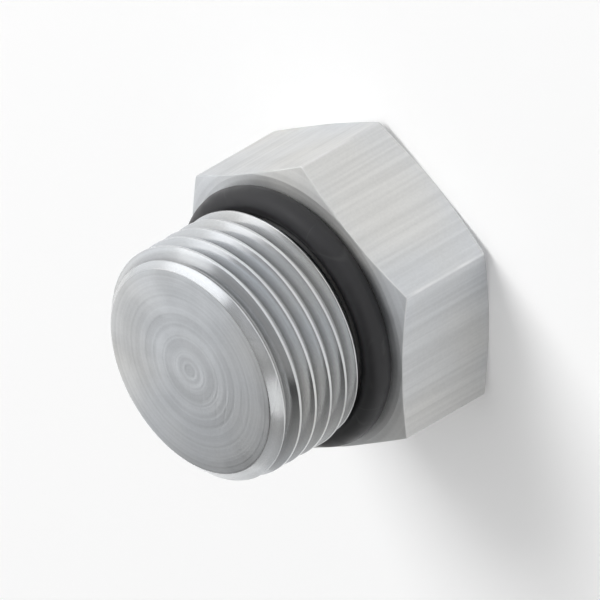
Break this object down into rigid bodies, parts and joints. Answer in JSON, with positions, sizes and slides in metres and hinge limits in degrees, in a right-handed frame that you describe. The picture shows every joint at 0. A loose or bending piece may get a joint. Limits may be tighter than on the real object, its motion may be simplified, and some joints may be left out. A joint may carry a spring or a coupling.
{
  "type": "hex pipe plug",
  "caption": "Hexagon-headed pipe plug with a straight unified thread and a rubber ring under the head; screwed into a threaded fluid port with a spanner, it closes and seals it.",
  "frame": {"origin": "centre of the head's outer face, which the plug stands on", "axes": "+Z along the plug's axis from the head to the end of the thread; two flats of the hexagon face +X and -X, and two corners point along +Y and -Y"},
  "size_m": [0.0222, 0.0256, 0.0203],
  "materials": {
    "zinc_plated_steel": "bright clear zinc plate over turned and drawn steel",
    "nitrile_rubber": "smooth moulded black rubber"
  },
  "bodies": {
    "root": {"plug_body": "zinc_plated_steel", "sealing_ring": "nitrile_rubber"}
  },
  "joints": []
}
